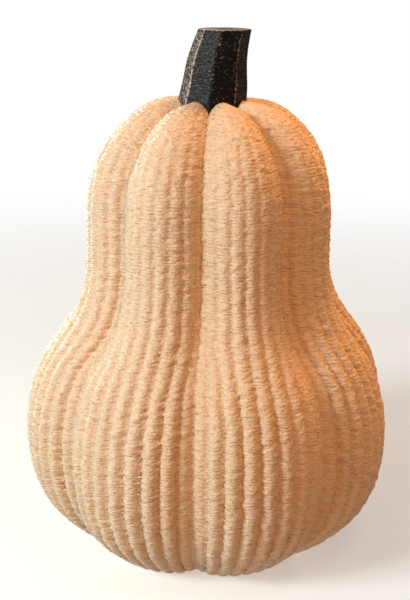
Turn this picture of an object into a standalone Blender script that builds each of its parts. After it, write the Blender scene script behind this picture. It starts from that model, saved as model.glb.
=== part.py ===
"""A decorative gourd-shaped pumpkin, made in two pieces.

The body is one solid with eight lobes, each of them crossed by nine upright ribs, and a flat base.
The stem is a leaning eight-sided peg whose foot stands in a socket in the body's crown.
Sizes are in metres, +Z is up, and the origin is the centre of the base.
"""

import math

import bmesh
import bpy
import numpy as np

# Driving dimensions

BASE_RADIUS = 0.0260
BELLY_RADIUS = 0.0375
BELLY_HEIGHT = 0.0232
WAIST_RADIUS = 0.0243
WAIST_HEIGHT = 0.0610
CROWN_HEIGHT = 0.0871
STEM_TOP_HEIGHT = 0.0997

LOBES = 8
RIBS_PER_LOBE = 9
COLUMNS_PER_RIB = 3
BODY_ROWS = 25

# The furrow's radius as a share of the crest's, and the half angle of the arc of an ellipse that a
# lobe's plan follows between two furrows
BELLY_FURROW_SHARE = 0.87
BELLY_ARC = math.radians(90.0)
NECK_FURROW_SHARE = 0.82
NECK_ARC = math.radians(78.0)

# Between these heights the belly's plan turns into the neck's, and two ribs merge in each furrow
NECK_START = 0.0370
NECK_END = 0.0470

# Depth of a valley between ribs at the belly; elsewhere it goes with the square of the radius
RIB_DEPTH = 0.0012

# Between these heights the furrows turn from running inwards to running down into the crown
CROWN_TURN_START = 0.0700
CROWN_TURN_END = 0.0830

# Within this radius the furrows keep their depth, and the section turns eight-sided
CROWN_RADIUS = 0.0114

STEM_FOOT_RADIUS = 0.0066
STEM_TOP_RADIUS = 0.0050
STEM_LEAN = 0.0022
STEM_LEAN_START = 0.0868
STEM_EDGE_SHARE = 0.985
STEM_COLUMNS = 24
STEM_ROWS = 14
SOCKET_FLOOR_HEIGHT = 0.0800
FIT_GAP = 0.0003

BODY_COLOUR = (0.80, 0.52, 0.31, 1.0)
BODY_ROUGHNESS = 0.65
STEM_COLOUR = (0.012, 0.011, 0.011, 1.0)
STEM_ROUGHNESS = 0.5
SHARP_ANGLE = math.radians(30.0)


def crest_stations():
    """The crest line of a lobe as (radius, height) pairs, from the base edge to the stem.

    They are the base edge, underside, belly, flank, hip, waist, shoulder, brow, crown and rim.
    """
    rim_radius = facet_radius(STEM_FOOT_RADIUS) + FIT_GAP
    return np.array(
        [
            (BASE_RADIUS, 0.0),
            (BELLY_RADIUS * 0.904, BELLY_HEIGHT * 0.34),
            (BELLY_RADIUS, BELLY_HEIGHT),
            (BELLY_RADIUS * 0.891, BELLY_HEIGHT + 0.0150),
            (BELLY_RADIUS * 0.724, BELLY_HEIGHT + 0.0243),
            (WAIST_RADIUS, WAIST_HEIGHT),
            (WAIST_RADIUS * 0.955, CROWN_HEIGHT - 0.0132),
            (WAIST_RADIUS * 0.778, CROWN_HEIGHT - 0.0058),
            (WAIST_RADIUS * 0.485, CROWN_HEIGHT - 0.0009),
            (rim_radius, CROWN_HEIGHT),
        ]
    )


def stem_axis_stations():
    """The stem's axis as (lean to +X, height) pairs: a small step at the crown, then a curve."""
    length = STEM_TOP_HEIGHT - STEM_LEAN_START
    return np.array(
        [
            (0.0, STEM_LEAN_START),
            (STEM_LEAN * 0.16, STEM_LEAN_START + length * 0.17),
            (STEM_LEAN * 0.37, STEM_LEAN_START + length * 0.56),
            (STEM_LEAN, STEM_TOP_HEIGHT),
        ]
    )


def facet_radius(corner_radius):
    """Distance from the axis to the middle of a facet of an eight-sided section."""
    return corner_radius * math.cos(math.pi / LOBES)


def smooth_step(values, low, high):
    """0 below low, 1 above high, and a smooth rise between them."""
    share = np.clip((values - low) / (high - low), 0.0, 1.0)
    return share * share * (3.0 - 2.0 * share)


def natural_cubic(stations, samples=2000):
    """A natural cubic curve through the stations, spaced by the chords between them."""
    chords = np.hypot(*np.diff(stations, axis=0).T)
    knots = np.concatenate([[0.0], np.cumsum(chords)])
    system = np.zeros((len(knots), len(knots)))
    right = np.zeros_like(stations)
    system[0, 0] = system[-1, -1] = 1.0
    for i in range(1, len(knots) - 1):
        system[i, i - 1 : i + 2] = chords[i - 1], 2.0 * (chords[i - 1] + chords[i]), chords[i]
        slopes = np.diff(stations[i - 1 : i + 2], axis=0) / chords[i - 1 : i + 1, None]
        right[i] = 6.0 * (slopes[1] - slopes[0])
    bend = np.linalg.solve(system, right)
    along = np.linspace(0.0, knots[-1], samples)
    piece = np.clip(np.searchsorted(knots, along, side="right") - 1, 0, len(chords) - 1)
    chord = chords[piece][:, None]
    ahead = (along - knots[piece])[:, None]
    behind = chord - ahead
    return (
        (bend[piece] * behind**3 + bend[piece + 1] * ahead**3) / (6.0 * chord)
        + (stations[piece] / chord - bend[piece] * chord / 6.0) * behind
        + (stations[piece + 1] / chord - bend[piece + 1] * chord / 6.0) * ahead
    )


def crest_rows(count):
    """Radius, height and outward direction of the crest line at even steps, base edge first."""
    curve = natural_cubic(crest_stations())
    run = np.concatenate([[0.0], np.cumsum(np.hypot(*np.diff(curve, axis=0).T))])
    steps = np.linspace(0.0, run[-1], count)
    radius = np.interp(steps, run, curve[:, 0])
    height = np.interp(steps, run, curve[:, 1])
    radius_slope = np.interp(steps, run, np.gradient(curve[:, 0], run))
    height_slope = np.interp(steps, run, np.gradient(curve[:, 1], run))
    # The curve runs upwards, so its outward side is to its right
    turn = smooth_step(height, CROWN_TURN_START, CROWN_TURN_END)
    out = 1.0 + (height_slope - 1.0) * turn
    up = -radius_slope * turn
    size = np.hypot(out, up)
    return radius, height, out / size, up / size


def lobe_plan(furrow_share, arc, shares):
    """Points of one lobe's plan and their normals, at shares of its length, for a crest of radius 1.

    The lobe is an arc of an ellipse that bulges outwards between two furrows.
    """
    half_lobe = math.pi / LOBES
    width = furrow_share * math.sin(half_lobe) / math.sin(arc)
    rise = (1.0 - furrow_share * math.cos(half_lobe)) / (1.0 - math.cos(arc))
    angle = np.linspace(-arc, arc, 1441)
    steps = np.hypot(np.diff(rise * np.cos(angle)), np.diff(width * np.sin(angle)))
    run = np.concatenate([[0.0], np.cumsum(steps)])
    angle = np.interp(shares * run[-1], run, angle)
    points = np.array([1.0 - rise + rise * np.cos(angle), width * np.sin(angle)])
    normal = np.array([np.cos(angle) / rise, np.sin(angle) / width])
    return points, normal / np.hypot(*normal)


def ribbed_plans(columns):
    """The plans of a lobe at the belly and at the neck, with the same columns on the same ribs.

    Each gives the points (outward, sideways), their normals, and how far each point lies down in a
    valley between ribs, 0 to 1. A rib is a shallow arch. At the belly all ribs are equally wide.
    At the neck the outermost rib is half as wide, and its crest lies in the furrow.
    """
    share = np.arange(columns + 1) / columns
    from_middle = np.abs(share - 0.5) * RIBS_PER_LOBE
    last_valley = RIBS_PER_LOBE / 2.0 - 1.0
    beyond = np.clip(from_middle - last_valley, 0.0, 1.0)
    arch = (2.0 * ((share * RIBS_PER_LOBE) % 1.0) - 1.0) ** 2
    belly_valley = np.where(beyond > 0.5, 0.0, arch)
    neck_valley = np.where(beyond > 0.0, (1.0 - beyond) ** 2, arch)
    neck_run = (np.minimum(from_middle, last_valley) + beyond / 2.0) / (RIBS_PER_LOBE - 1.0)
    neck_share = 0.5 + np.sign(share - 0.5) * neck_run
    belly = (*lobe_plan(BELLY_FURROW_SHARE, BELLY_ARC, share), belly_valley)
    neck = (*lobe_plan(NECK_FURROW_SHARE, NECK_ARC, neck_share), neck_valley)
    return belly, neck


def moulded(name, columns, rows, place, colour, roughness):
    """An object whose mesh is a UV sphere with each vertex put where place(row, column) says.

    Row 0 is the upper pole and the last row is the lower pole.
    """
    shape = bmesh.new()
    bmesh.ops.create_uvsphere(shape, u_segments=columns, v_segments=rows, radius=1.0)
    mesh = bpy.data.meshes.new(name)
    shape.to_mesh(mesh)
    shape.free()
    points = np.empty(len(mesh.vertices) * 3, np.float32)
    mesh.vertices.foreach_get("co", points)
    x, y, z = points.reshape(-1, 3).T.astype(float)
    row = np.rint(np.arccos(np.clip(z, -1.0, 1.0)) / math.pi * rows).astype(int)
    column = np.rint(np.arctan2(y, x) / (2.0 * math.pi) * columns).astype(int) % columns
    mesh.vertices.foreach_set("co", place(row, column).astype(np.float32).ravel())
    mesh.update()
    mesh.shade_smooth()
    mesh.set_sharp_from_angle(angle=SHARP_ANGLE)
    mesh.materials.append(finish(name, colour, roughness))
    return bpy.data.objects.new(name, mesh)


def finish(name, colour, roughness):
    """A plain moulded plastic."""
    material = bpy.data.materials.new(name)
    material.use_nodes = True
    shader = material.node_tree.nodes["Principled BSDF"]
    shader.inputs["Base Color"].default_value = colour
    shader.inputs["Roughness"].default_value = roughness
    shader.inputs["Metallic"].default_value = 0.0
    return material


def body():
    """The lobed and ribbed body, with a socket in its crown and a flat base."""
    per_lobe = RIBS_PER_LOBE * COLUMNS_PER_RIB
    belly, neck = ribbed_plans(per_lobe)
    radius, height, out, up = (values[::-1] for values in crest_rows(BODY_ROWS))

    def place(row, column):
        lobe, step = column // per_lobe, column % per_lobe
        line = np.clip(row - 2, 0, BODY_ROWS - 1)
        blend = smooth_step(height[line], NECK_START, NECK_END)
        plan, normal, valley = (
            low[..., step] + (high[..., step] - low[..., step]) * blend
            for low, high in zip(belly, neck)
        )
        cut = RIB_DEPTH * radius[line] / BELLY_RADIUS**2 * valley
        plan = plan - cut * normal / np.hypot(*normal)
        bearing = np.arctan2(plan[1], plan[0])
        drop = (1.0 - np.hypot(*plan)) * np.maximum(radius[line], CROWN_RADIUS)
        # The section turns from round to eight-sided where the crown meets the stem
        squareness = 1.0 - smooth_step(radius[line], radius[0], CROWN_RADIUS)
        corner = radius[0] * (1.0 / np.cos(bearing) - 1.0) * squareness
        across = radius[line] - drop * out[line] + corner
        level = height[line] - drop * up[line]
        # The socket has the rim's own outline, and both poles lie on the axis
        across = np.where(row == 1, radius[0] / np.cos(bearing), across)
        level = np.where(row <= 1, SOCKET_FLOOR_HEIGHT, level)
        pole = (row == 0) | (row == BODY_ROWS + 2)
        across = np.where(pole, 0.0, across)
        level = np.where(row >= BODY_ROWS + 1, 0.0, level)
        turned = (lobe + 0.5) * 2.0 * math.pi / LOBES + bearing
        return np.stack([across * np.cos(turned), across * np.sin(turned), level], axis=1)

    return moulded("body", LOBES * per_lobe, BODY_ROWS + 2, place, BODY_COLOUR, BODY_ROUGHNESS)


def stem():
    """The leaning eight-sided stem, whose corners stand in the body's furrows."""
    foot = SOCKET_FLOOR_HEIGHT + FIT_GAP
    levels = np.linspace(STEM_LEAN_START, STEM_TOP_HEIGHT, STEM_ROWS - 2)
    levels = np.concatenate([[foot, foot], levels, [STEM_TOP_HEIGHT]])[::-1]
    rise = np.clip((levels - STEM_LEAN_START) / (STEM_TOP_HEIGHT - STEM_LEAN_START), 0.0, 1.0)
    corner_radius = STEM_FOOT_RADIUS + (STEM_TOP_RADIUS - STEM_FOOT_RADIUS) * rise
    axis = natural_cubic(stem_axis_stations())
    lean = np.interp(levels, axis[:, 1], axis[:, 0])

    def place(row, column):
        turned = column * 2.0 * math.pi / STEM_COLUMNS
        facet = 2.0 * math.pi / LOBES
        bearing = (turned % facet) - facet / 2.0
        across = facet_radius(corner_radius[row]) / np.cos(bearing)
        across = np.minimum(across, corner_radius[row] * STEM_EDGE_SHARE)
        across = np.where((row == 0) | (row == STEM_ROWS), 0.0, across)
        x = lean[row] + across * np.cos(turned)
        return np.stack([x, across * np.sin(turned), levels[row]], axis=1)

    return moulded("stem", STEM_COLUMNS, STEM_ROWS, place, STEM_COLOUR, STEM_ROUGHNESS)


def clear_scene():
    """Removes whatever the file opened with."""
    for thing in list(bpy.data.objects):
        bpy.data.objects.remove(thing, do_unlink=True)


def main():
    clear_scene()
    pumpkin = bpy.data.collections.new("pumpkin")
    bpy.context.scene.collection.children.link(pumpkin)
    for piece in (body(), stem()):
        pumpkin.objects.link(piece)


main()
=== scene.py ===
"""The looks of a small printed pumpkin: a lobed, ribbed peach body and a black eight-sided stem.

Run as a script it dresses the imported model, one operator for each piece and one for the stage.
All sizes are in metres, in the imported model's own frame.
"""

import math

import bpy
import numpy as np
from mathutils import Euler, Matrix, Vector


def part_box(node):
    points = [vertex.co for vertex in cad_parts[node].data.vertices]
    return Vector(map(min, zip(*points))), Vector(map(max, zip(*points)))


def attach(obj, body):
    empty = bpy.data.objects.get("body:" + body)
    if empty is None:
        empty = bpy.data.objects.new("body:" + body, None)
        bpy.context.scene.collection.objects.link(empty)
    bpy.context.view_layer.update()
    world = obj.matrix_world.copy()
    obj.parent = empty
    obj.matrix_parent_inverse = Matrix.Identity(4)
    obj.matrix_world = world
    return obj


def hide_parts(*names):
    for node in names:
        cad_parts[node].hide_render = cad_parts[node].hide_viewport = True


bl_info = {
    "name": "Printed Pumpkin",
    "version": (1, 0, 0),
    "blender": (4, 5, 0),
    "location": "3D View > Sidebar > Pumpkin",
    "description": "Builds the body, the stem and the stage of a small printed pumpkin",
    "category": "Add Mesh",
}

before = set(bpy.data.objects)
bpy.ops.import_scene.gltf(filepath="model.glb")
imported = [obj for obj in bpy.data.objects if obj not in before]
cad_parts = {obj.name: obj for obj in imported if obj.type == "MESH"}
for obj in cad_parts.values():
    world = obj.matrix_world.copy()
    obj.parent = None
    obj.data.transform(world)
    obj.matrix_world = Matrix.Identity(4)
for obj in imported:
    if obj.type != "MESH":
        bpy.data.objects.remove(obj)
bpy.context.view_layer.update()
BODY_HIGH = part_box("body")[1]
STEM_LOW, STEM_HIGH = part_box("stem")

# The photograph's frame and the camera read from it, in its pixels
IMAGE_WIDTH = 410
IMAGE_HEIGHT = 600
LENS_IN_PIXELS = 1006.0
AXIS_IN_IMAGE = (209.4, 298.3)

# The camera's sensor, in millimetres
SENSOR_HEIGHT = 24.0

LOBES = 8

# The stem and its socket have one facet for each lobe
FACETS = LOBES

# The crest line's stations between its driving sizes, from the base up. Each starts with a share of
# the belly's radius, or on the crown of the waist's. Then the underside has a share of the belly's
# height, the hip a rise above the belly and the crown a drop below the line's end
UNDERSIDE_STATION = (0.904, 0.34)
HIP_STATIONS = ((0.891, 0.0150), (0.724, 0.0243))
CROWN_STATIONS = ((0.955, 0.0132), (0.778, 0.0058), (0.485, 0.0009))

# The furrow's radius as a share of the crest's, and the half angle of the arc of an ellipse that a
# lobe's plan follows between two furrows
BELLY_FURROW_SHARE = 0.87
BELLY_ARC = math.radians(90.0)
NECK_FURROW_SHARE = 0.82
NECK_ARC = math.radians(78.0)

# How far the belly's plan reaches along X, as a share of the crest's radius, and how far the crest
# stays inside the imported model's, which leaves room for the skin's unevenness
BELLY_REACH = 0.9613
SKIN_INSET = 0.00042

# Height above which the ribs are as faint as they get
CROWN_FADE_END = 0.0840

# How far the fill of a furrow reaches from its bottom, in ribs
FILL_REACH = 0.5

# Layers above the base edge over which the skin's unevenness sets in
CALM_LAYERS = 2.0

# How many columns a short stitch reaches to each side, and the longest random step, in usual ones
SHORT_STITCH = 1
STEP_LIMIT = 2.2

# The strands and cracks of the body's skin in the height of one layer, and the values of the crack
# noise between which the painted shade at a crack's bottom turns into plain skin
STRANDS_PER_LAYER = 1.3
CRACKS_PER_LAYER = 3.0
CRACK_SHADE_RANGE = (0.26, 0.38)

# The stem's axis between its straight foot and its top, in shares of the lean and of the height
LEAN_STATIONS = ((0.16, 0.17), (0.37, 0.56))

# How pale each of the stem's edges is, anticlockwise from +X: wear, and painted sheen on the edges
# facing the key light. Then the distances from the edge between which this fades, in edge widths
EDGE_WEAR_AND_SHEEN = (0.25, 0.25, 0.40, 0.40, 0.50, 0.72, 0.10, 0.36)
EDGE_FADE = (0.4, 1.3)

# The middle of the stem's facet that faces the key light, paled by scuffs and painted sheen, and
# the distances from it between which this fades, in facets
SHEEN_FACET_BEARING = math.radians(202.5)
SHEEN_FACET_FADE = (0.47, 0.53)

# Faces of the stem that meet at more than this have a sharp edge between them
SHARP_ANGLE = math.radians(60.0)

# The stem's fine lines, grit and drifting strings: how many there are to a metre, or to a layer
LINE_SCALE = 900.0
LINES_PER_LAYER = 2.0
GRIT_SCALE = 2300.0
STRING_SCALE = 260.0

# What full wear and sheen add to the grit, the values of their sum between which black turns pale
# with scuffs and painted sheen, and the value of the strings' noise that a string follows
WEAR_AND_SHEEN_WEIGHT = 0.42
SCUFF_AND_SHEEN_RANGE = (0.62, 0.76)
STRING_CONTOUR = 0.56

FLOOR_SIDES = 96
FLOOR_ROUGHNESS = 0.9

# Each soft light's bearing from the front to +X and elevation in degrees, its power in watts, its
# colour, and whether it falls on the body alone
LIGHTS = (
    ("left_front", -55.0, 28.0, 1.80, "cool", False),
    ("left_side", -88.0, 4.0, 0.50, "cool", False),
    ("top", 60.0, 70.0, 0.20, "cool", False),
    ("left_back", -138.0, 12.0, 2.10, "cool", True),
    ("left_low", -48.0, -28.0, 0.42, "cool", True),
    ("right_top", 135.0, 60.0, 1.20, "amber", True),
    ("right_back", 145.0, 28.0, 1.10, "amber", True),
    ("front", 20.0, 28.0, 0.76, "amber", True),
)

# What the lights for the body alone leave out
LEFT_OUT = ("floor", "pumpkin_stem")


def smooth_step(values, low, high):
    """0 below low, 1 above high, and 3 s^2 - 2 s^3 between them, where s is the share of the way."""
    share = np.clip((values - low) / (high - low), 0.0, 1.0)
    return share * share * (3.0 - 2.0 * share)


def natural_cubic(stations, samples=4000):
    """A natural cubic curve through the stations, spaced by the chords between them.

    Each piece is the cubic whose bend runs evenly from one station's to the next one's, and the
    bends are those that make the slopes meet.
    """
    chords = np.hypot(*np.diff(stations, axis=0).T)
    knots = np.concatenate([[0.0], np.cumsum(chords)])
    system = np.zeros((len(knots), len(knots)))
    right = np.zeros_like(stations)
    system[0, 0] = system[-1, -1] = 1.0
    for i in range(1, len(knots) - 1):
        system[i, i - 1 : i + 2] = chords[i - 1], 2.0 * (chords[i - 1] + chords[i]), chords[i]
        slopes = np.diff(stations[i - 1 : i + 2], axis=0) / chords[i - 1 : i + 1, None]
        right[i] = 6.0 * (slopes[1] - slopes[0])
    bend = np.linalg.solve(system, right)
    along = np.linspace(0.0, knots[-1], samples)
    piece = np.clip(np.searchsorted(knots, along, side="right") - 1, 0, len(chords) - 1)
    chord = chords[piece][:, None]
    ahead = (along - knots[piece])[:, None]
    behind = chord - ahead
    return (
        (bend[piece] * behind**3 + bend[piece + 1] * ahead**3) / (6.0 * chord)
        + (stations[piece] / chord - bend[piece] * chord / 6.0) * behind
        + (stations[piece + 1] / chord - bend[piece + 1] * chord / 6.0) * ahead
    )


def crest_rows(settings, count):
    """Radius, height and outward direction of a lobe's crest line at even steps, base edge first.

    The line is a natural cubic through the base edge, the belly, the waist, the socket's rim and
    the stations between them. The outward direction is level on the sides, and turns into the
    line's normal over the crown.
    """
    belly, belly_z = settings.belly_radius, settings.belly_height
    waist, waist_z = settings.waist_radius, settings.waist_height
    crown_z = settings.crown_height
    under_share, under_rise = UNDERSIDE_STATION
    stations = np.array(
        [
            (settings.base_radius, 0.0),
            (belly * under_share, belly_z * under_rise),
            (belly, belly_z),
            *((belly * share, belly_z + rise) for share, rise in HIP_STATIONS),
            (waist, waist_z),
            *((waist * share, crown_z - drop) for share, drop in CROWN_STATIONS),
            (settings.rim_radius, crown_z),
        ]
    )
    curve = natural_cubic(stations)
    run = np.concatenate([[0.0], np.cumsum(np.hypot(*np.diff(curve, axis=0).T))])
    steps = np.linspace(0.0, run[-1], count)
    radius = np.interp(steps, run, curve[:, 0])
    height = np.interp(steps, run, curve[:, 1])
    radius_slope = np.interp(steps, run, np.gradient(curve[:, 0], run))
    height_slope = np.interp(steps, run, np.gradient(curve[:, 1], run))
    turn = smooth_step(height, settings.crown_turn_start, settings.crown_turn_end)
    out = 1.0 + (height_slope - 1.0) * turn
    up = -radius_slope * turn
    size = np.hypot(out, up)
    return radius, height, out / size, up / size


def lobe_plan(furrow_share, arc, shares, samples=2881):
    """Points of one lobe's plan and their normals, at shares of its length, for a crest of radius 1.

    The lobe is an arc of an ellipse that bulges outwards between two furrows. The ellipse's width
    and rise are those that put the arc's ends on the furrows and its middle on the crest.
    """
    half_lobe = math.pi / LOBES
    width = furrow_share * math.sin(half_lobe) / math.sin(arc)
    rise = (1.0 - furrow_share * math.cos(half_lobe)) / (1.0 - math.cos(arc))
    angle = np.linspace(-arc, arc, samples)
    steps = np.hypot(np.diff(rise * np.cos(angle)), np.diff(width * np.sin(angle)))
    run = np.concatenate([[0.0], np.cumsum(steps)])
    angle = np.interp(shares * run[-1], run, angle)
    points = np.array([1.0 - rise + rise * np.cos(angle), width * np.sin(angle)])
    normal = np.array([np.cos(angle) / rise, np.sin(angle) / width])
    return points, normal / np.hypot(*normal)


def ribbed_plans(ribs, columns):
    """The plans of a lobe at the belly and at the neck, with the same columns on the same ribs.

    Each gives the points (outward, sideways), their normals, and how far each point lies down in a
    valley between ribs: the square of the distance from the rib's middle. At the belly all ribs
    are equally wide. At the neck the outermost one is half as wide, with its crest in the furrow.
    """
    share = np.arange(columns) / columns
    from_middle = np.abs(share - 0.5) * ribs
    last_valley = ribs / 2.0 - 1.0
    beyond = np.clip(from_middle - last_valley, 0.0, 1.0)
    arch = (2.0 * ((share * ribs) % 1.0) - 1.0) ** 2
    belly_valley = np.where(beyond > 0.5, 0.0, arch)
    neck_valley = np.where(beyond > 0.0, (1.0 - beyond) ** 2, arch)
    neck_run = (np.minimum(from_middle, last_valley) + beyond / 2.0) / (ribs - 1.0)
    neck_share = 0.5 + np.sign(share - 0.5) * neck_run
    belly = np.vstack([*lobe_plan(BELLY_FURROW_SHARE, BELLY_ARC, share), belly_valley])
    neck = np.vstack([*lobe_plan(NECK_FURROW_SHARE, NECK_ARC, neck_share), neck_valley])
    return belly, neck


def row_noise(random, shape, reach):
    """Random steps of usual size 1 that run on smoothly along a row, and start afresh at the next.

    Each is the sum of the draws within reach columns of it, weighted by the square of a cosine of
    their distance, and the longest steps are cut short.
    """
    noise = random.normal(0.0, 1.0, shape)
    offsets = np.arange(-reach, reach + 1)
    weights = np.cos(offsets * math.pi / (2.0 * reach + 2.0)) ** 2
    total = sum(w * np.roll(noise, int(step), axis=1) for step, w in zip(offsets, weights))
    return np.clip(total / np.sqrt((weights**2).sum()), -STEP_LIMIT, STEP_LIMIT)


def closed_skin(name, points, top, bottom):
    """A closed mesh: rings of points, each joined to the next, with a fan to a point at each end.

    points has the shape (rings, columns, 3), and the rings run from the top down, each turning
    anticlockwise as seen from above.
    """
    rings, columns, _ = points.shape
    count = rings * columns
    here = np.arange(count).reshape(rings, columns)
    beside = np.roll(here, -1, axis=1)
    quads = np.stack([here[:-1], here[1:], beside[1:], beside[:-1]], axis=-1).reshape(-1, 4)
    upper = np.stack([np.full(columns, count), here[0], beside[0]], axis=-1)
    lower = np.stack([np.full(columns, count + 1), beside[-1], here[-1]], axis=-1)
    corners = np.concatenate([quads.ravel(), upper.ravel(), lower.ravel()])
    sizes = np.concatenate([np.full(len(quads), 4), np.full(2 * columns, 3)])
    mesh = bpy.data.meshes.new(name)
    mesh.vertices.add(count + 2)
    mesh.vertices.foreach_set("co", np.vstack([points.reshape(-1, 3), top, bottom]).ravel())
    mesh.loops.add(len(corners))
    mesh.loops.foreach_set("vertex_index", corners)
    mesh.polygons.add(len(sizes))
    mesh.polygons.foreach_set("loop_start", np.concatenate([[0], np.cumsum(sizes)[:-1]]))
    mesh.update(calc_edges=True)
    mesh.validate()
    return mesh


def add_piece(mesh, node, material):
    """Adds an object for the mesh that stands for a node of the model and moves with it."""
    piece = bpy.data.objects.new(mesh.name, mesh)
    bpy.context.scene.collection.objects.link(piece)
    mesh.materials.append(material)
    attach(piece, "root")
    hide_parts(node)


def lobed_rings(settings):
    """Radius, height and bearing of the body's points, and each ring's outward direction, top first.

    A ring is the lobes' plan times the crest's radius, and the belly's plan turns into the neck's
    over a span of height. What the plan lacks of the full circle is taken off along the crest
    line's outward direction, so furrows run inwards on the sides and downwards on the crown. Close
    to the stem the rings turn into the socket's eight sides. Each rib lowers its valleys along the
    plan's normal, and a fill that falls off with the square of the distance rounds the furrow's
    bottom at the belly.
    """
    rows, ribs = settings.rows, settings.ribs
    per_lobe = ribs * settings.columns_per_rib
    radius, height, out, up = (line[::-1, None] for line in crest_rows(settings, rows))
    belly, neck = (plan[:, None, :] for plan in ribbed_plans(ribs, per_lobe))
    blend = smooth_step(height, settings.neck_start, settings.neck_end)
    plan_out, plan_side, normal_out, normal_side, valley = belly + (neck - belly) * blend
    from_furrow = ribs / 2.0 - np.abs(np.arange(per_lobe) / per_lobe - 0.5) * ribs
    fill = np.clip(1.0 - from_furrow / FILL_REACH, 0.0, 1.0) ** 2 * (1.0 - blend)
    plan_out = plan_out + settings.furrow_fill / settings.belly_radius * fill
    fade = 1.0 - settings.crown_fade * smooth_step(height, settings.neck_end, CROWN_FADE_END)
    cut = settings.rib_depth * fade * radius / settings.belly_radius**2 * valley
    cut = cut / np.hypot(normal_out, normal_side)
    plan_out = plan_out - cut * normal_out
    plan_side = plan_side - cut * normal_side
    bearing = np.arctan2(plan_side, plan_out)
    drop = (1.0 - np.hypot(plan_out, plan_side)) * np.maximum(radius, settings.crown_radius)
    squareness = 1.0 - smooth_step(radius, settings.rim_radius, settings.crown_radius)
    corner = settings.rim_radius * (1.0 / np.cos(bearing) - 1.0) * squareness
    across = np.tile(radius - drop * out + corner, LOBES)
    level = np.tile(height - drop * up, LOBES)
    lobe = np.repeat(np.arange(LOBES) + 0.5, per_lobe) * 2.0 * math.pi / LOBES
    return across, level, lobe + np.tile(bearing, LOBES), out, up


def body_points(settings):
    """The body's rings from the socket's floor to the base edge, and its two poles.

    The print's unevenness is a seeded random step of every point of the lobed rings, sideways in
    long stitches and in or out in short ones, which fades towards the stem and the base edge.
    """
    across, level, turned, out, up = lobed_rings(settings)
    random = np.random.default_rng(settings.seed)
    calm = smooth_step(across, settings.rim_radius, settings.crown_radius)
    calm *= smooth_step(level, 0.0, settings.layer_height * CALM_LAYERS)
    sway = row_noise(random, across.shape, settings.columns_per_rib) * settings.sway
    step = row_noise(random, across.shape, SHORT_STITCH) * settings.fuzz
    turned = turned + sway * calm / across
    across = across + step * calm * out
    level = level + step * calm * up
    rings = np.stack([across * np.cos(turned), across * np.sin(turned), level], axis=-1)
    floor_level = settings.socket_floor
    socket = rings[:1].copy()
    socket[..., 2] = floor_level
    return np.concatenate([socket, rings]), (0.0, 0.0, floor_level), (0.0, 0.0, 0.0)


def facet_columns(settings):
    """Bearings of the stem's mesh columns, at even steps from +X, and the angle of one facet."""
    columns = FACETS * settings.columns_per_facet
    return np.arange(columns) * 2.0 * math.pi / columns, 2.0 * math.pi / FACETS


def stem_points(settings):
    """The stem's rings from its cut top to its foot, and its two poles.

    A ring is an eight-sided section whose edges are clipped by a slightly smaller circle. The
    section shrinks and its centre leans to +X with height, and each printed layer bulges a little:
    the groove between layers is the square of a cosine of the height. A seeded random step inwards
    of every point makes the skin uneven.
    """
    start, top = settings.lean_start, settings.top_height
    length = top - start
    lean = settings.lean
    bends = [(lean * share, start + length * rise) for share, rise in LEAN_STATIONS]
    axis = natural_cubic(np.array([(0.0, start), *bends, (lean, top)]))
    levels = np.linspace(top, settings.foot_height, settings.rows)[:, None]
    rise = np.clip((levels - start) / length, 0.0, 1.0)
    corner = settings.foot_radius + (settings.top_radius - settings.foot_radius) * rise
    turned, facet = facet_columns(settings)
    bearing = turned % facet - facet / 2.0
    across = corner * math.cos(facet / 2.0) / np.cos(bearing)
    across = np.minimum(across, corner * settings.edge_share)
    across = across - settings.layer_groove * np.cos(math.pi * levels / settings.layer_height) ** 2
    random = np.random.default_rng(settings.seed)
    across = across - np.abs(random.normal(0.0, settings.fuzz, across.shape))
    x = np.interp(levels, axis[:, 1], axis[:, 0]) + across * np.cos(turned)
    rings = np.stack(np.broadcast_arrays(x, across * np.sin(turned), levels), axis=-1)
    return rings, (lean, 0.0, top), (0.0, 0.0, settings.foot_height)


def stem_wear_and_sheen(settings):
    """How pale each point of the stem is, 0 to 1: its edges, the facet on the left and the top.

    The paleness is wear, and painted sheen on the facet and edges that face the key light. An
    edge's paleness falls off with the distance from the edge, and differs from edge to edge.
    """
    turned, facet = facet_columns(settings)
    edge = np.rint(turned / facet).astype(int) % FACETS
    from_edge = np.abs((turned + facet / 2.0) % facet - facet / 2.0) * settings.top_radius
    fade = 1.0 - smooth_step(from_edge / settings.edge_width, *EDGE_FADE)
    line = np.array(EDGE_WEAR_AND_SHEEN)[edge] * fade
    # Painted sheen, with scuffs, on the facet that faces the key light
    off_facet = np.abs(turned - SHEEN_FACET_BEARING) / facet
    side = settings.facet_sheen_share * (1.0 - smooth_step(off_facet, *SHEEN_FACET_FADE))
    wear = np.tile(np.maximum(line, side), (settings.rows, 1))
    wear[0] = 1.0
    return np.concatenate([wear.ravel(), [settings.top_wear, 0.0]])


def add_node(tree, kind, inputs=(), **fields):
    """A shader node with its fields, and its inputs set to plain values or other nodes' outputs."""
    node = tree.nodes.new(kind)
    for name, value in fields.items():
        setattr(node, name, value)
    for name, source in inputs:
        if hasattr(source, "is_output"):
            tree.links.new(source, node.inputs[name])
        else:
            node.inputs[name].default_value = source
    return node


def object_place(tree):
    """A point's place in metres in the model's frame, because every object sits at the origin."""
    return add_node(tree, "ShaderNodeTexCoord").outputs["Object"]


def scaled(tree, place, scale):
    """A place times a scale along each axis."""
    return add_node(tree, "ShaderNodeMapping", [("Vector", place), ("Scale", scale)]).outputs[0]


def noise_at(tree, place, scale=1.0, detail=2.0, roughness=0.5, twist=0.0):
    """A smooth noise at a place, from 0 to 1."""
    inputs = [
        ("Vector", place),
        ("Scale", scale),
        ("Detail", detail),
        ("Roughness", roughness),
        ("Distortion", twist),
    ]
    return add_node(tree, "ShaderNodeTexNoise", inputs).outputs["Fac"]


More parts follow.
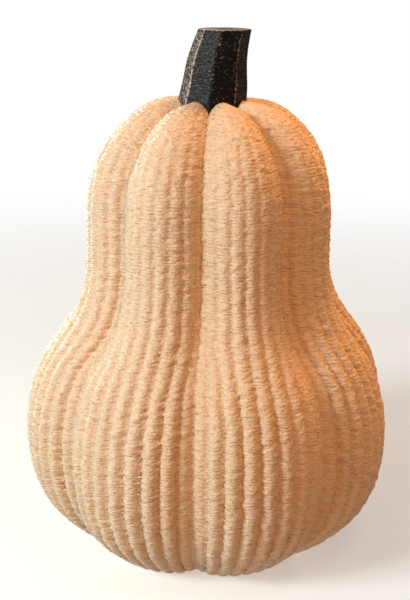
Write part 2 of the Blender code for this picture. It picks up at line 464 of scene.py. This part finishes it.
def times_plus(tree, value, factor, more, use_clamp=False):
    """A value times a factor, plus more."""
    inputs = [(0, value), (1, factor), (2, more)]
    node = add_node(tree, "ShaderNodeMath", inputs, operation="MULTIPLY_ADD", use_clamp=use_clamp)
    return node.outputs[0]


def add_relief(tree, shader, height, depth):
    """Bump on a shader, where a height of 1 stands proud by the depth."""
    inputs = [("Strength", 1.0), ("Distance", depth), ("Height", height)]
    bump = add_node(tree, "ShaderNodeBump", inputs)
    tree.links.new(bump.outputs["Normal"], shader.inputs["Normal"])


def new_material(name, colour, roughness):
    """A Principled material with its plain colour and roughness, ready for more nodes."""
    material = bpy.data.materials.new(name)
    material.use_nodes = True
    shader = material.node_tree.nodes["Principled BSDF"]
    shader.inputs["Base Color"].default_value = (*colour, 1.0)
    shader.inputs["Roughness"].default_value = roughness
    return material, material.node_tree, shader


def peach_plastic(settings):
    """Matt peach plastic printed in thin layers that bulge in short strands, with painted shade in
    cracks.

    The layers are a sine of the height, whose phase a noise shakes so that they wander up and down.
    A second noise, stretched along the layers, makes the strands, and the lows of a third, flatter
    one are the cracks, darkened with painted shade.
    """
    material, tree, shader = new_material("peach_plastic", settings.colour, settings.roughness)
    place = object_place(tree)
    strand, layer = 1.0 / settings.strand_length, 1.0 / settings.layer_height
    shake = noise_at(tree, place, scale=strand)
    height = add_node(tree, "ShaderNodeSeparateXYZ", [(0, place)]).outputs["Z"]
    turns = times_plus(tree, height, 2.0 * math.pi * layer, 0.0)
    phase = times_plus(tree, shake, settings.shake, turns)
    wave = add_node(tree, "ShaderNodeMath", [(0, phase)], operation="SINE").outputs[0]
    strand_place = scaled(tree, place, (strand, strand, STRANDS_PER_LAYER * layer))
    strands = noise_at(tree, strand_place, detail=3.0, roughness=0.6, twist=settings.twist)
    relief = times_plus(tree, wave, settings.layer_share, strands)
    add_relief(tree, shader, relief, settings.strand_relief)
    # Painted shade: the lows of the crack noise darken the colour where shade would fall into a
    # crack
    crack_place = scaled(tree, place, (strand, strand, CRACKS_PER_LAYER * layer))
    cracks = noise_at(tree, crack_place, detail=1.0)
    ramp = add_node(tree, "ShaderNodeValToRGB", [("Fac", cracks)])
    dark, plain = ramp.color_ramp.elements
    dark.position, plain.position = CRACK_SHADE_RANGE
    dark.color = (*settings.crack_shade_colour, 1.0)
    plain.color = (*settings.colour, 1.0)
    tree.links.new(ramp.outputs["Color"], shader.inputs["Base Color"])
    return material


def black_plastic(settings):
    """Black plastic in fine level layers, pale where the wear attribute is high.

    It is 1 where the skin is fully pale, from scuffs and, where the facet and edges face the key
    light, from painted sheen. Grit, a fine noise, breaks it up and leaves a few specks of dust
    elsewhere. Thin strings of plastic follow one contour of a much wider noise.
    """
    material, tree, shader = new_material("black_plastic", settings.colour, settings.roughness)
    shader.inputs["Specular IOR Level"].default_value = settings.gloss
    place = object_place(tree)
    line_scale = (LINE_SCALE, LINE_SCALE, LINES_PER_LAYER / settings.layer_height)
    lines = noise_at(tree, scaled(tree, place, line_scale))
    add_relief(tree, shader, lines, settings.line_relief)
    # The wear attribute: real wear, and painted sheen on the facet and edges facing the key light
    wear = add_node(tree, "ShaderNodeAttribute", attribute_name="wear").outputs["Fac"]
    grit = noise_at(tree, place, scale=GRIT_SCALE, roughness=0.7)
    wear_sheen_and_grit = times_plus(tree, wear, WEAR_AND_SHEEN_WEIGHT, grit)
    low, high = SCUFF_AND_SHEEN_RANGE
    inputs = [("Value", wear_sheen_and_grit), ("From Min", low), ("From Max", high)]
    scuff_and_sheen = add_node(tree, "ShaderNodeMapRange", inputs).outputs["Result"]
    drift = noise_at(tree, place, scale=STRING_SCALE, detail=1.0)
    inputs = [(0, drift), (1, STRING_CONTOUR), (2, settings.string_width)]
    strings = add_node(tree, "ShaderNodeMath", inputs, operation="COMPARE").outputs[0]
    marks = times_plus(tree, strings, settings.string_tint, scuff_and_sheen, use_clamp=True)
    inputs = [(0, marks), (6, (*settings.colour, 1.0)), (7, (*settings.scuff_and_sheen_colour, 1.0))]
    colour = add_node(tree, "ShaderNodeMix", inputs, data_type="RGBA")
    tree.links.new(colour.outputs[2], shader.inputs["Base Color"])
    return material


def length_property(name, description, default):
    """A size in metres."""
    return bpy.props.FloatProperty(
        name=name, description=description, default=default, min=0.0, unit="LENGTH", precision=5
    )


def share_property(name, description, default):
    """A share from 0 to 1."""
    return bpy.props.FloatProperty(
        name=name, description=description, default=default, min=0.0, max=1.0, subtype="FACTOR"
    )


def number_property(name, description, default):
    """A plain number, 0 or more."""
    return bpy.props.FloatProperty(name=name, description=description, default=default, min=0.0)


def angle_property(name, description, degrees):
    """An angle, kept in radians, whose default is given in degrees."""
    return bpy.props.FloatProperty(
        name=name, description=description, default=math.radians(degrees), unit="ROTATION"
    )


def count_property(name, description, default, least=1):
    """A whole number."""
    return bpy.props.IntProperty(name=name, description=description, default=default, min=least)


def colour_property(name, description, default):
    """A linear colour."""
    return bpy.props.FloatVectorProperty(
        name=name, description=description, default=default, subtype="COLOR", min=0.0, max=1.0
    )


class PumpkinBodySettings(bpy.types.PropertyGroup):
    """Sizes and finish of the body."""

    base_radius: length_property("Base radius", "Crest radius at the base edge", 0.0260)
    belly_radius: length_property(
        "Belly radius", "Crest radius at the belly", BODY_HIGH.x / BELLY_REACH - SKIN_INSET
    )
    belly_height: length_property("Belly height", "Height of the widest ring", 0.0232)
    waist_radius: length_property("Waist radius", "Crest radius at the waist", 0.0243)
    waist_height: length_property("Waist height", "Height of the waist", 0.0610)
    crown_height: length_property("Crown height", "Height of the crest at the stem", BODY_HIGH.z)
    crown_radius: length_property(
        "Crown radius", "Radius within which the furrows keep their depth", 0.0114
    )
    crown_turn_start: length_property(
        "Crown turn start", "Height at which the furrows start to turn downwards", 0.0700
    )
    crown_turn_end: length_property(
        "Crown turn end", "Height above which the furrows follow the crown", 0.0830
    )
    rim_radius: length_property("Rim radius", "Radius of the socket to a facet", 0.0064)
    socket_floor: length_property("Socket floor", "Height of the socket's floor", 0.0800)
    neck_start: length_property(
        "Neck start", "Height where the belly's plan starts to turn into the neck's", 0.0370
    )
    neck_end: length_property("Neck end", "Height above which the neck's plan holds", 0.0470)
    rib_depth: length_property("Rib depth", "Depth of a valley at the belly", 0.0012)
    furrow_fill: length_property(
        "Furrow fill", "How far a furrow's bottom is raised at the belly", 0.0007
    )
    crown_fade: share_property("Crown fade", "Share of a rib's depth lost at the crown", 0.5)
    layer_height: length_property("Layer height", "Height of one printed layer", 0.00057)
    sway: length_property("Sway", "Usual step sideways of a layer's stitches", 0.00017)
    fuzz: length_property("Fuzz", "Usual step of a stitch in or out", 0.00008)
    strand_length: length_property("Strand length", "Length of a bulge along a layer", 0.0012)
    strand_relief: length_property("Strand relief", "Depth between strands", 0.00062)
    layer_share: share_property("Layer share", "Depth between layers, of that between strands", 0.05)
    shake: number_property("Shake", "How far the layers wander, as a phase", 6.0)
    twist: number_property("Twist", "How far the strands lean and curl", 0.3)
    ribs: count_property("Ribs", "Ribs on each lobe", 9)
    columns_per_rib: count_property("Columns per rib", "Mesh columns across one rib", 6, least=3)
    rows: count_property("Rows", "Mesh rows from the crown to the base edge", 228, least=20)
    seed: count_property("Seed", "Start of the random steps", 7, least=0)
    colour: colour_property("Colour", "Colour of the strands", (0.85, 0.63, 0.43))
    # Painted shade at the bottom of the cracks, not a colour of the plastic
    crack_shade_colour: colour_property("Dark colour", "Colour in the cracks", (0.60, 0.37, 0.21))
    roughness: share_property("Roughness", "Roughness of the plastic", 0.50)


class PumpkinStemSettings(bpy.types.PropertyGroup):
    """Sizes and finish of the stem."""

    foot_height: length_property("Foot height", "Height of the stem's foot", STEM_LOW.z)
    top_height: length_property("Top height", "Height of the cut top", STEM_HIGH.z)
    foot_radius: length_property("Foot radius", "Radius to an edge at the foot", 0.0066)
    top_radius: length_property("Top radius", "Radius to an edge at the top", 0.0050)
    lean: length_property("Lean", "How far the top leans", 0.0022)
    lean_start: length_property("Lean start", "Height where the lean starts", 0.0868)
    layer_height: length_property("Layer height", "Height of one printed layer", 0.00057)
    layer_groove: length_property("Layer groove", "Depth of the groove between layers", 0.00004)
    fuzz: length_property("Fuzz", "Usual unevenness of the skin", 0.00003)
    line_relief: length_property("Line relief", "Depth of the finest lines", 0.00018)
    edge_share: share_property("Edge share", "Where an edge is clipped", 0.985)
    columns_per_facet: count_property(
        "Columns per facet", "Mesh columns across one facet", 24, least=2
    )
    rows: count_property("Rows", "Mesh rows from top to foot", 136, least=4)
    seed: count_property("Seed", "Start of the random steps", 3, least=0)
    colour: colour_property("Colour", "Colour of the plastic", (0.006, 0.006, 0.006))
    # Pale colour of the scuffs and of the painted sheen on the facet facing the key light
    scuff_and_sheen_colour: colour_property("Scuff colour", "Colour of the scuffs", (0.54, 0.43, 0.37))
    edge_width: length_property("Edge width", "How far an edge's wear reaches", 0.00021)
    # Paleness of the facet facing the key light: scuffs and painted sheen
    facet_sheen_share: share_property("Scuff share", "Wear of the scuffed facet", 0.33)
    top_wear: share_property("Top wear", "Wear of the cut top", 0.3)
    string_width: share_property("String width", "Width of a string, in its noise", 0.004)
    string_tint: share_property("String tint", "How pale a string is", 0.22)
    gloss: share_property("Gloss", "Strength of the plastic's gloss", 0.20)
    roughness: share_property("Roughness", "Roughness of the plastic", 0.42)


class PumpkinStageSettings(bpy.types.PropertyGroup):
    """The camera's place, the lights and the floor."""

    distance: length_property("Distance", "From the camera to the middle of the body", 0.2012)
    aim_height: length_property("Aim height", "Height that the camera looks at", 0.0475)
    azimuth: angle_property("Azimuth", "The camera's turn from the front to +X", 4.5)
    elevation: angle_property("Elevation", "The camera's angle above level", 18.4)
    roll: angle_property("Roll", "Roll of the camera", 0.78)
    light_distance: length_property("Light distance", "From the lights to the pumpkin", 0.5)
    light_size: length_property("Light size", "Side of each square light", 0.16)
    fade_start: length_property("Fade start", "Radius where the floor starts to fade", 0.07)
    fade_end: length_property("Fade end", "Radius where the floor ends, fully faded", 0.34)
    floor_glow: number_property("Floor glow", "Strength of the floor's own light", 0.42)
    floor_colour: colour_property("Floor colour", "Colour of the floor", (0.90, 0.90, 0.89))
    cool_colour: colour_property("Cool colour", "Colour of the lights on the left", (0.88, 1.0, 1.0))
    amber_colour: colour_property(
        "Amber colour", "Colour of the lights on the right", (1.0, 0.41, 0.10)
    )
    dome_radius: length_property("Dome radius", "Radius of the faint glow all around", 1.2)
    dome_colour: colour_property(
        "Dome colour", "Colour and strength of the faint glow", (0.235, 0.152, 0.097)
    )
    world_strength: number_property("World strength", "Brightness of the background", 1.0)
    world_colour: colour_property("World colour", "Colour of the background", (1.0, 1.0, 1.0))


class PUMPKIN_OT_body(bpy.types.Operator):
    """Add the lobed and ribbed body"""

    bl_idname = "pumpkin.body"
    bl_label = "Body"

    def execute(self, context):
        settings = context.scene.pumpkin_body
        mesh = closed_skin("pumpkin_body", *body_points(settings))
        mesh.shade_smooth()
        add_piece(mesh, "body", peach_plastic(settings))
        return {"FINISHED"}


class PUMPKIN_OT_stem(bpy.types.Operator):
    """Add the leaning eight-sided stem"""

    bl_idname = "pumpkin.stem"
    bl_label = "Stem"

    def execute(self, context):
        settings = context.scene.pumpkin_stem
        mesh = closed_skin("pumpkin_stem", *stem_points(settings))
        # Wear and painted sheen on the stem, read by its material
        mesh.attributes.new("wear", "FLOAT", "POINT").data.foreach_set("value", stem_wear_and_sheen(settings))
        mesh.shade_smooth()
        mesh.set_sharp_from_angle(angle=SHARP_ANGLE)
        add_piece(mesh, "stem", black_plastic(settings))
        return {"FINISHED"}


def add_floor(settings):
    """A wide level disc with a matt pale finish, which fades into the pale background.

    It throws no light back and casts no shadow, so the low light reaches the pumpkin through it.
    """
    bpy.ops.mesh.primitive_circle_add(
        vertices=FLOOR_SIDES, radius=settings.fade_end, fill_type="NGON"
    )
    floor = bpy.context.object
    floor.name = "floor"
    material, tree, shader = new_material("floor", settings.floor_colour, FLOOR_ROUGHNESS)
    shader.inputs["Emission Color"].default_value = (*settings.floor_colour, 1.0)
    shader.inputs["Emission Strength"].default_value = settings.floor_glow
    inputs = [(0, object_place(tree))]
    away = add_node(tree, "ShaderNodeVectorMath", inputs, operation="LENGTH").outputs["Value"]
    inputs = [("Value", away), ("From Min", settings.fade_start), ("From Max", settings.fade_end)]
    fade = add_node(tree, "ShaderNodeMapRange", inputs, interpolation_type="SMOOTHSTEP")
    clear = add_node(tree, "ShaderNodeBsdfTransparent")
    inputs = [(0, fade.outputs["Result"]), (1, shader.outputs[0]), (2, clear.outputs[0])]
    faded = add_node(tree, "ShaderNodeMixShader", inputs)
    tree.links.new(faded.outputs[0], tree.nodes["Material Output"].inputs["Surface"])
    floor.data.materials.append(material)
    floor.visible_diffuse = False
    floor.visible_shadow = False


def add_dome(settings):
    """A wide sphere around the stage that glows faintly and isn't itself seen."""
    bpy.ops.mesh.primitive_uv_sphere_add(radius=settings.dome_radius)
    dome = bpy.context.object
    dome.name = "dome"
    material, _, shader = new_material("dome", (0.0, 0.0, 0.0), 1.0)
    shader.inputs["Emission Color"].default_value = (*settings.dome_colour, 1.0)
    shader.inputs["Emission Strength"].default_value = 1.0
    dome.data.materials.append(material)
    dome.visible_camera = False
    dome.visible_shadow = False


def place_around(settings, distance, bearing, elevation):
    """A place at a distance from where the camera looks, at a bearing and an elevation.

    Both are in radians, and bearings run from the front to +X.
    """
    level = distance * math.cos(elevation)
    rise = distance * math.sin(elevation)
    return level * math.sin(bearing), -level * math.cos(bearing), settings.aim_height + rise


def add_area_light(name, bearing, elevation, settings, power, colour):
    """A square soft light turned to the pumpkin, at a bearing and an elevation in radians."""
    light = bpy.data.lights.new(name, "AREA")
    light.size = settings.light_size
    light.energy = power
    light.color = colour
    lamp = bpy.data.objects.new(name, light)
    bpy.context.scene.collection.objects.link(lamp)
    lamp.location = place_around(settings, settings.light_distance, bearing, elevation)
    lamp.rotation_euler = (math.pi / 2 - elevation, 0.0, bearing)
    return lamp


def light_body_only(lamp):
    """Keeps a light off the floor and the stem, so it colours and brightens neither."""
    receivers = bpy.data.collections.new(f"{lamp.name}_receivers")
    for name in LEFT_OUT:
        if name in bpy.data.objects:
            receivers.objects.link(bpy.data.objects[name])
    for receiver in receivers.collection_objects:
        receiver.light_linking.link_state = "EXCLUDE"
    lamp.light_linking.receiver_collection = receivers


def add_lights(settings):
    """The soft lights: cool ones mostly on the left, and amber ones on the right."""
    colours = {"cool": tuple(settings.cool_colour), "amber": tuple(settings.amber_colour)}
    for name, bearing, elevation, power, colour, body_only in LIGHTS:
        around, above = math.radians(bearing), math.radians(elevation)
        lamp = add_area_light(name, around, above, settings, power, colours[colour])
        if body_only:
            light_body_only(lamp)


def add_background(settings):
    """A plain pale world, which is only seen behind the floor and throws no light."""
    world = bpy.data.worlds.new("background")
    world.use_nodes = True
    shader = world.node_tree.nodes["Background"]
    shader.inputs["Color"].default_value = (*settings.world_colour, 1.0)
    shader.inputs["Strength"].default_value = settings.world_strength
    world.cycles_visibility.diffuse = False
    world.cycles_visibility.glossy = False
    bpy.context.scene.world = world


def add_camera(settings):
    """The camera at the photograph's place: it looks at the axis, with its roll and framing."""
    data = bpy.data.cameras.new("camera")
    data.sensor_fit = "VERTICAL"
    data.sensor_height = SENSOR_HEIGHT
    data.lens = SENSOR_HEIGHT * LENS_IN_PIXELS / IMAGE_HEIGHT
    data.shift_x = (IMAGE_WIDTH / 2 - AXIS_IN_IMAGE[0]) / IMAGE_HEIGHT
    data.shift_y = (AXIS_IN_IMAGE[1] - IMAGE_HEIGHT / 2) / IMAGE_HEIGHT
    data.clip_start = 0.01
    data.clip_end = 20.0
    camera = bpy.data.objects.new("camera", data)
    bpy.context.scene.collection.objects.link(camera)
    azimuth, elevation = settings.azimuth, settings.elevation
    camera.location = place_around(settings, settings.distance, azimuth, elevation)
    turn = Euler((0.0, 0.0, settings.roll)).to_matrix()
    turn.rotate(Euler((math.pi / 2 - elevation, 0.0, 0.0)))
    turn.rotate(Euler((0.0, 0.0, azimuth)))
    camera.rotation_euler = turn.to_euler()
    bpy.context.scene.camera = camera


class PUMPKIN_OT_stage(bpy.types.Operator):
    """Add the floor, the soft lights and the camera"""

    bl_idname = "pumpkin.stage"
    bl_label = "Stage"

    def execute(self, context):
        settings = context.scene.pumpkin_stage
        add_floor(settings)
        add_dome(settings)
        add_lights(settings)
        add_background(settings)
        add_camera(settings)
        context.scene.view_settings.view_transform = "Standard"
        return {"FINISHED"}


class PUMPKIN_PT_sidebar(bpy.types.Panel):
    """The pumpkin's pieces in the sidebar"""

    bl_idname = "PUMPKIN_PT_sidebar"
    bl_label = "Printed Pumpkin"
    bl_space_type = "VIEW_3D"
    bl_region_type = "UI"
    bl_category = "Pumpkin"

    def draw(self, context):
        for operator in OPERATORS:
            self.layout.operator(operator.bl_idname)
        for name, _ in SETTINGS:
            group = getattr(context.scene, name)
            box = self.layout.box()
            for field in group.bl_rna.properties.keys():
                if field not in ("rna_type", "name"):
                    box.prop(group, field)


OPERATORS = (PUMPKIN_OT_body, PUMPKIN_OT_stem, PUMPKIN_OT_stage)
SETTINGS = (
    ("pumpkin_body", PumpkinBodySettings),
    ("pumpkin_stem", PumpkinStemSettings),
    ("pumpkin_stage", PumpkinStageSettings),
)


def register():
    for name, group in SETTINGS:
        bpy.utils.register_class(group)
        setattr(bpy.types.Scene, name, bpy.props.PointerProperty(type=group))
    for operator in OPERATORS:
        bpy.utils.register_class(operator)
    bpy.utils.register_class(PUMPKIN_PT_sidebar)


def unregister():
    bpy.utils.unregister_class(PUMPKIN_PT_sidebar)
    for operator in reversed(OPERATORS):
        bpy.utils.unregister_class(operator)
    for name, group in reversed(SETTINGS):
        delattr(bpy.types.Scene, name)
        bpy.utils.unregister_class(group)


def main():
    """Builds the pieces and the stage."""
    register()
    bpy.ops.pumpkin.body()
    bpy.ops.pumpkin.stem()
    bpy.ops.pumpkin.stage()


if __name__ == "__main__":
    main()
